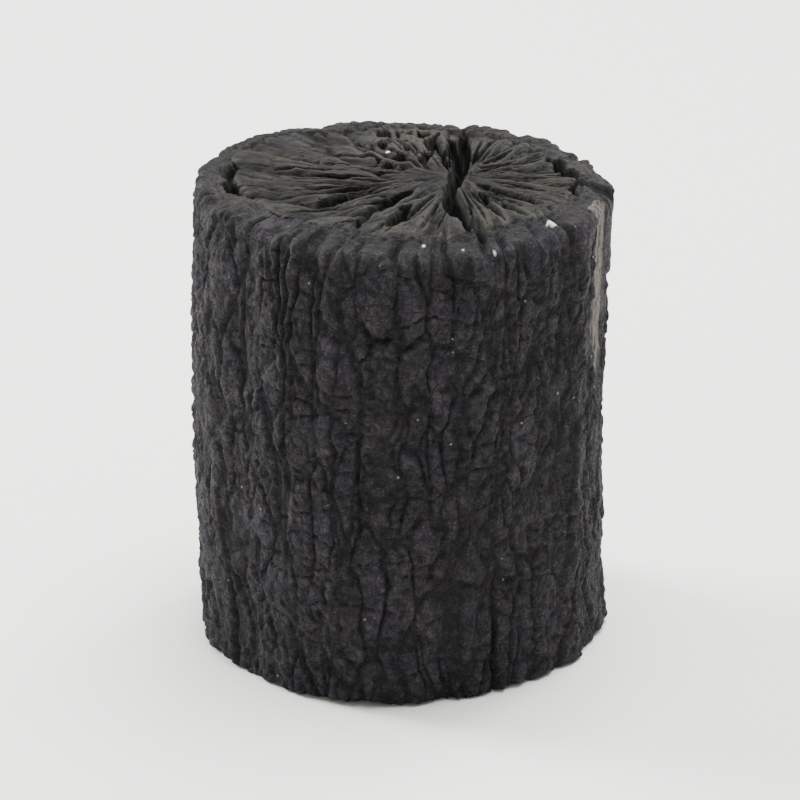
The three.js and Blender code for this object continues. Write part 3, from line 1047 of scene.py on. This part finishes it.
def char_patterns(tree, read, pith):
    """The char's patterns: streaks and fibres along the rays, pores, crazing, specks and grit."""
    # Places in millimetres, and places stretched so that noise streaks out along the rays.
    place = add(tree, "ShaderNodeTexCoord").outputs["Object"]
    mm = add(tree, VECTOR, {"operation": "SCALE"}, place, Scale=1 / MM)
    offset = add(tree, VECTOR, MINUS, mm, (*pith, 0))
    flat = add(tree, VECTOR, TIMES, offset, (1, 1, 0))
    reach = add(tree, VECTOR, {"operation": "LENGTH"}, flat)
    heading = add(tree, VECTOR, {"operation": "NORMALIZE"}, flat)
    around = add(tree, VECTOR, {"operation": "SCALE"}, heading, Scale=RAY_REACH / RAY_SPACING)
    outward = add(tree, MATH, TIMES, reach, 1 / RAY_LENGTH)
    ray = add(tree, VECTOR, PLUS, around, add(tree, "ShaderNodeCombineXYZ", Z=outward))

    streak = add(tree, NOISE, Vector=ray, Scale=1.0, Detail=3.0, Roughness=0.6)
    fibre = add(tree, NOISE, Vector=ray, Scale=RAY_SPACING / FIBRE, Detail=3.0, Roughness=0.7)
    blotch = add(tree, NOISE, Vector=mm, Scale=1 / BLOTCH, Detail=2.0, Roughness=0.6)
    tint = add(tree, NOISE, Vector=mm, Scale=1 / TINT, Detail=3.0, Roughness=0.6)
    mottle = add(tree, NOISE, Vector=mm, Scale=1 / MOTTLE, Detail=5.0, Roughness=0.7)
    grit = add(tree, NOISE, Vector=mm, Scale=1 / GRIT, Detail=3.0, Roughness=0.75)

    # Rings of pores, where the spring wood is.
    pore_field = add(tree, VORONOI, Vector=mm, Scale=1 / PORE_SPACING)
    ring_share = add(tree, MATH, {"operation": "FRACT"}, read["ring"])
    from_ring = add(tree, MATH, {"operation": "ABSOLUTE"}, add(tree, MATH, MINUS, ring_share, 0.5))
    spring = add(tree, RANGE, SMOOTH, from_ring, 0.24, 0.1)
    pore_rim, pore_floor = PORE_RIM / PORE_SPACING, PORE_FLOOR / PORE_SPACING
    pore_dot = add(tree, RANGE, SMOOTH, pore_field, pore_rim, pore_floor)
    pore = add(tree, MATH, TIMES, pore_dot, spring)

    # Crazing of the bark's skin, in patches.
    craze_field = add(
        tree, VORONOI, {"feature": "DISTANCE_TO_EDGE"}, Vector=mm, Scale=1 / CRAZE_SPACING
    )
    craze_patch = add(tree, RANGE, SMOOTH, mottle, 0.42, 0.58)
    craze = add(tree, MATH, TIMES, add(tree, RANGE, SMOOTH, craze_field, 0.07, 0.01), craze_patch)

    # Specks of ash that cling to the bark, one cell in six.
    speck_field = add(tree, VORONOI, Vector=mm, Scale=1 / SPECK_SPACING)
    chosen = add(tree, "ShaderNodeSeparateColor", None, speck_field.outputs["Color"])
    chance = add(tree, MATH, {"operation": "GREATER_THAN"}, chosen, 1 - SPECK_SHARE)
    speck_rim = SPECK / SPECK_SPACING
    speck_dot = add(tree, RANGE, SMOOTH, speck_field, speck_rim, 0.5 * speck_rim)
    speck = add(tree, MATH, TIMES, speck_dot, chance)

    # Fibres of the bare strip, which run down the branch.
    strand_place = add(tree, VECTOR, TIMES, mm, (1, 1, STRAND_DRIFT))
    strand = add(tree, NOISE, Vector=strand_place, Scale=1 / STRAND, Detail=3.0, Roughness=0.6)

    return SimpleNamespace(
        streak=streak,
        fibre=fibre,
        blotch=blotch,
        tint=tint,
        mottle=mottle,
        grit=grit,
        spring=spring,
        pore=pore,
        craze=craze,
        speck=speck,
        strand=strand,
    )


def wood_colour(tree, looks, char):
    """Wood: black-grey and olive along the close grain, with painted highlights on glinting
    streaks.
    """
    close_grain = add(tree, RANGE, SMOOTH, char.streak, 0.38, 0.62)
    wood = add(tree, MIX, COLOUR, close_grain, looks.wood_dark, looks.wood_light)
    # Painted highlight: glinting fibre streaks get the sheen colour.
    painted_glint = add(tree, RANGE, SMOOTH, char.fibre, 0.48, 0.68, 0.0, 0.6)
    wood = add(tree, MIX, COLOUR, painted_glint, wood, looks.wood_painted_sheen)
    wood = add(tree, MIX, COLOUR, add(tree, MATH, TIMES, char.spring, 0.3), wood, looks.wood_dark)
    browned = add(tree, RANGE, SMOOTH, char.tint, 0.54, 0.68, 0.0, 0.45)
    wood = add(tree, MIX, COLOUR, browned, wood, looks.bark_warm)
    blued = add(tree, RANGE, SMOOTH, char.tint, 0.47, 0.36, 0.0, 0.45)
    wood = add(tree, MIX, COLOUR, blued, wood, looks.bark_cool)
    return add(tree, MIX, COLOUR, add(tree, MATH, TIMES, char.pore, 0.9), wood, looks.soot_and_painted_shade)


def bark_colour(tree, looks, char, plate):
    """Bark: mottled dark grey, with painted shade in its fissures and crazing, bluer or browner in
    patches.
    """
    # Partly painted light: the mottle that lightens the skin also raises the bump, so tops are
    # paler and hollows darker.
    mottle_and_painted_light = add(tree, RANGE, SMOOTH, char.mottle, 0.38, 0.62)
    skin = add(tree, MIX, COLOUR, mottle_and_painted_light, looks.bark_dark, looks.bark_light)
    brown_patch = add(tree, RANGE, SMOOTH, char.tint, 0.53, 0.66, 0.0, 0.4)
    skin = add(tree, MIX, COLOUR, brown_patch, skin, looks.bark_warm)
    blue_patch = add(tree, RANGE, SMOOTH, char.tint, 0.47, 0.34, 0.0, 0.35)
    skin = add(tree, MIX, COLOUR, blue_patch, skin, looks.bark_cool)
    # Painted shade: the fissures between plates, the splits and the crazing are darkened in colour.
    hollow = add(tree, RANGE, SMOOTH, plate, 0.7, 0.0, 0.0, 0.6)
    skin = add(tree, MIX, COLOUR, hollow, skin, looks.soot_and_painted_shade)
    skin = add(tree, MIX, COLOUR, add(tree, MATH, TIMES, char.craze, 0.7), skin, looks.soot_and_painted_shade)
    grains = add(tree, RANGE, SMOOTH, char.grit, 0.6, 0.7)
    dust_patch = add(tree, RANGE, SMOOTH, char.mottle, 0.5, 0.62, 0.0, 0.4)
    dusty = add(tree, MATH, TIMES, grains, dust_patch)
    return add(tree, MIX, COLOUR, dusty, skin, looks.dust)


def char_colour(tree, looks, read, char):
    """Wood and bark, with sooty patches, painted shade in cracks, painted highlights on edges, and
    what lies on them.
    """
    wood = wood_colour(tree, looks, char)
    skin = bark_colour(tree, looks, char, read["plate"])
    colour = add(tree, MIX, COLOUR, read["bark"], wood, skin)
    sooty = add(tree, RANGE, SMOOTH, char.blotch, 0.35, 0.6, 0.4, 0.0)
    fibres = add(tree, RANGE, SMOOTH, char.strand, 0.36, 0.58, 0.15, 1.0)
    layers = (
        (sooty, looks.soot_and_painted_shade),
        # Painted highlights on crack lips, crests and crumbled crowns, and the paler bark layers.
        (add(tree, MATH, TIMES, read["edge"], 0.6), looks.wood_painted_sheen),
        # Painted shade in the cracks, petal valleys and crumbled pits.
        (read["crack"], looks.soot_and_painted_shade),
        (add(tree, MATH, TIMES, read["scar"], fibres), looks.scar),
        (add(tree, MATH, TIMES, char.speck, read["bark"]), looks.dust),
        # White flakes: part ash, part painted glint on the rim.
        (read["ash_and_painted_glint"], looks.ash_and_painted_glint),
    )
    for where, what in layers:
        colour = add(tree, MIX, COLOUR, where, colour, what)
    return colour


def char_roughness(tree, read, char):
    """Close char shines a little along the rays; bark, cracks and the white flakes are dull."""
    wood_dull = add(tree, RANGE, SMOOTH, char.streak, 0.36, 0.64, 0.72, 0.42)
    bark_dull = add(tree, RANGE, SMOOTH, char.grit, 0.35, 0.65, 0.85, 0.55)
    dull = add(tree, MIX, VALUE, read["bark"], wood_dull, bark_dull)
    hidden = add(tree, MATH, {"operation": "MAXIMUM"}, read["crack"], read["ash_and_painted_glint"])
    return add(tree, MATH, {"operation": "MULTIPLY_ADD", "use_clamp": True}, hidden, 0.3, dull)


def char_bump(tree, read, char):
    """Torn fibre and pores on the cuts, and grit and crazing on the bark."""
    fibre_height = add(tree, MATH, TIMES_PLUS, char.grit, 0.5, char.fibre)
    wood_height = add(tree, MATH, TIMES_PLUS, char.pore, -0.6, fibre_height)
    grit_height = add(tree, MATH, TIMES_PLUS, char.mottle, 1.6, char.grit)
    bark_height = add(tree, MATH, TIMES_PLUS, char.craze, -0.45, grit_height)
    height = add(tree, MIX, VALUE, read["bark"], wood_height, bark_height)
    return add(tree, "ShaderNodeBump", Strength=1.0, Distance=GRAIN_DEPTH * MM, Height=height)


def charred_oak(looks, pith):
    """Oak burnt to black charcoal in a kiln.

    The sawn cuts are hard, close char with a graphite sheen that streaks out along the rays, from
    lower roughness there and from painted highlights in the colour, and rings of open pores. The
    bark burns to a duller, sootier black that breaks up light, with a few white specks of burnt
    residue left on it. Painted shade darkens the cracks and fissures, and white flakes paint glints
    on the
    rim. Charcoal is no metal: its sheen comes from smooth, close char.
    """
    material = bpy.data.materials.new("charred_oak")
    material.use_nodes = True
    tree = material.node_tree
    tree.nodes.clear()
    read = mesh_maps(tree)
    char = char_patterns(tree, read, pith)
    surface = add(
        tree,
        "ShaderNodeBsdfPrincipled",
        Base_Color=char_colour(tree, looks, read, char),
        Roughness=char_roughness(tree, read, char),
        IOR=CHAR_IOR,
        Specular_IOR_Level=CHAR_SPECULAR,
        Normal=char_bump(tree, read, char),
    )
    add(tree, "ShaderNodeOutputMaterial", None, surface)
    return material


def painted_board(colour):
    """Matt white studio board: an even sheet with no gloss."""
    material = bpy.data.materials.new("matt_white_board")
    material.use_nodes = True
    tree = material.node_tree
    tree.nodes.clear()
    surface = add(tree, "ShaderNodeBsdfPrincipled", Base_Color=colour, Roughness=0.85)
    add(tree, "ShaderNodeOutputMaterial", None, surface)
    return material


# ------------------------------------------------------------------ stage

# Studio lights: name, place in metres, width of the lamp and power in watts.
LIGHTS = (
    ("top_light", (0.1, 0.1, 1.0), 0.6, 25.0),
    ("key_light", (-0.85, 0.35, 0.55), 0.3, 21.0),
    ("rim_light", (0.7, 0.8, 0.5), 0.3, 9.0),
)
DAYLIGHT_STRENGTH = 0.5
SENSOR = 36.0


def aim(thing, place, target):
    """Puts a light or the camera at a place, looking at a target."""
    thing.location = place
    thing.rotation_euler = (Vector(target) - Vector(place)).to_track_quat("-Z", "Y").to_euler()
    bpy.context.scene.collection.objects.link(thing)


def studio_floor(width, colour):
    """A wide flat board under the lump."""
    half = width / 2
    mesh = bpy.data.meshes.new("floor")
    corners = [(-half, -half, 0), (half, -half, 0), (half, half, 0), (-half, half, 0)]
    mesh.from_pydata(corners, [], [(0, 1, 2, 3)])
    mesh.materials.append(painted_board(colour))
    floor = bpy.data.objects.new("floor", mesh)
    bpy.context.scene.collection.objects.link(floor)


def studio_lights(middle, colour):
    """Soft lamps and an even pale light all round."""
    world = bpy.data.worlds.new("studio")
    world.use_nodes = True
    back = world.node_tree.nodes["Background"]
    back.inputs["Color"].default_value = colour
    back.inputs["Strength"].default_value = DAYLIGHT_STRENGTH
    bpy.context.scene.world = world
    for name, place, size, power in LIGHTS:
        lamp = bpy.data.lights.new(name, "AREA")
        lamp.shape = "SQUARE"
        lamp.size = size
        lamp.energy = power
        aim(bpy.data.objects.new(name, lamp), place, middle)


def studio_camera(middle, stage):
    """The camera, which looks down on the lump from the front."""
    camera = bpy.data.cameras.new("camera")
    camera.sensor_width = SENSOR
    camera.lens = SENSOR * stage.distance / stage.framing
    back_off = Vector((0, -math.cos(stage.elevation), math.sin(stage.elevation)))
    view = bpy.data.objects.new("camera", camera)
    aim(view, middle + back_off * stage.distance, middle)
    bpy.context.scene.camera = view


# ------------------------------------------------------------------ operators


class OBJECT_OT_charcoal_lump(bpy.types.Operator):
    """Build the charred branch and let it stand for the CAD solid"""

    bl_idname = "object.charcoal_lump"
    bl_label = "Build charcoal lump"

    def execute(self, context):
        form = in_millimetres(context.scene.charcoal_shape)
        points, maps = lump_grid(form)
        maps["ash_and_painted_glint"] = ash_and_glint_map(form, points)
        mesh = closed_mesh("charred_branch", points, maps, form.base_rows, form.top_rows - 1)
        lump = bpy.data.objects.new("charred_branch", mesh)
        context.scene.collection.objects.link(lump)
        mesh.materials.append(charred_oak(context.scene.charcoal_colours, form.pith))
        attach(lump, "root")
        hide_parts(NODE)
        return {"FINISHED"}


class OBJECT_OT_charcoal_stage(bpy.types.Operator):
    """Set up the pale floor, soft light and camera"""

    bl_idname = "object.charcoal_stage"
    bl_label = "Build stage"

    def execute(self, context):
        scene = context.scene
        looks = scene.charcoal_colours
        middle = Vector((0, 0, scene.charcoal_shape.length / 2))
        studio_floor(scene.charcoal_stage.floor_size, looks.board)
        studio_lights(middle, looks.daylight)
        studio_camera(middle, scene.charcoal_stage)
        return {"FINISHED"}


class VIEW3D_PT_charcoal(bpy.types.Panel):
    """Settings and buttons, in the sidebar"""

    bl_label = "Charcoal"
    bl_idname = "VIEW3D_PT_charcoal"
    bl_space_type = "VIEW_3D"
    bl_region_type = "UI"
    bl_category = "Charcoal"

    def draw(self, context):
        scene = context.scene
        groups = (
            ("Lump", scene.charcoal_shape),
            ("Colours", scene.charcoal_colours),
            ("Stage", scene.charcoal_stage),
        )
        for title, group in groups:
            box = self.layout.box()
            box.label(text=title)
            for name in type(group).__annotations__:
                box.prop(group, name)
        self.layout.operator(OBJECT_OT_charcoal_lump.bl_idname)
        self.layout.operator(OBJECT_OT_charcoal_stage.bl_idname)


CLASSES = (
    CharcoalShape,
    CharcoalColours,
    StageSettings,
    OBJECT_OT_charcoal_lump,
    OBJECT_OT_charcoal_stage,
    VIEW3D_PT_charcoal,
)


def register():
    """Adds the classes, and the settings to each scene."""
    for cls in CLASSES:
        bpy.utils.register_class(cls)
    bpy.types.Scene.charcoal_shape = bpy.props.PointerProperty(type=CharcoalShape)
    bpy.types.Scene.charcoal_colours = bpy.props.PointerProperty(type=CharcoalColours)
    bpy.types.Scene.charcoal_stage = bpy.props.PointerProperty(type=StageSettings)


def unregister():
    """Takes both away again."""
    del bpy.types.Scene.charcoal_stage
    del bpy.types.Scene.charcoal_colours
    del bpy.types.Scene.charcoal_shape
    for cls in reversed(CLASSES):
        bpy.utils.unregister_class(cls)


def main():
    """Builds the lump and its stage."""
    register()
    bpy.ops.object.charcoal_lump()
    bpy.ops.object.charcoal_stage()


if __name__ == "__main__":
    main()
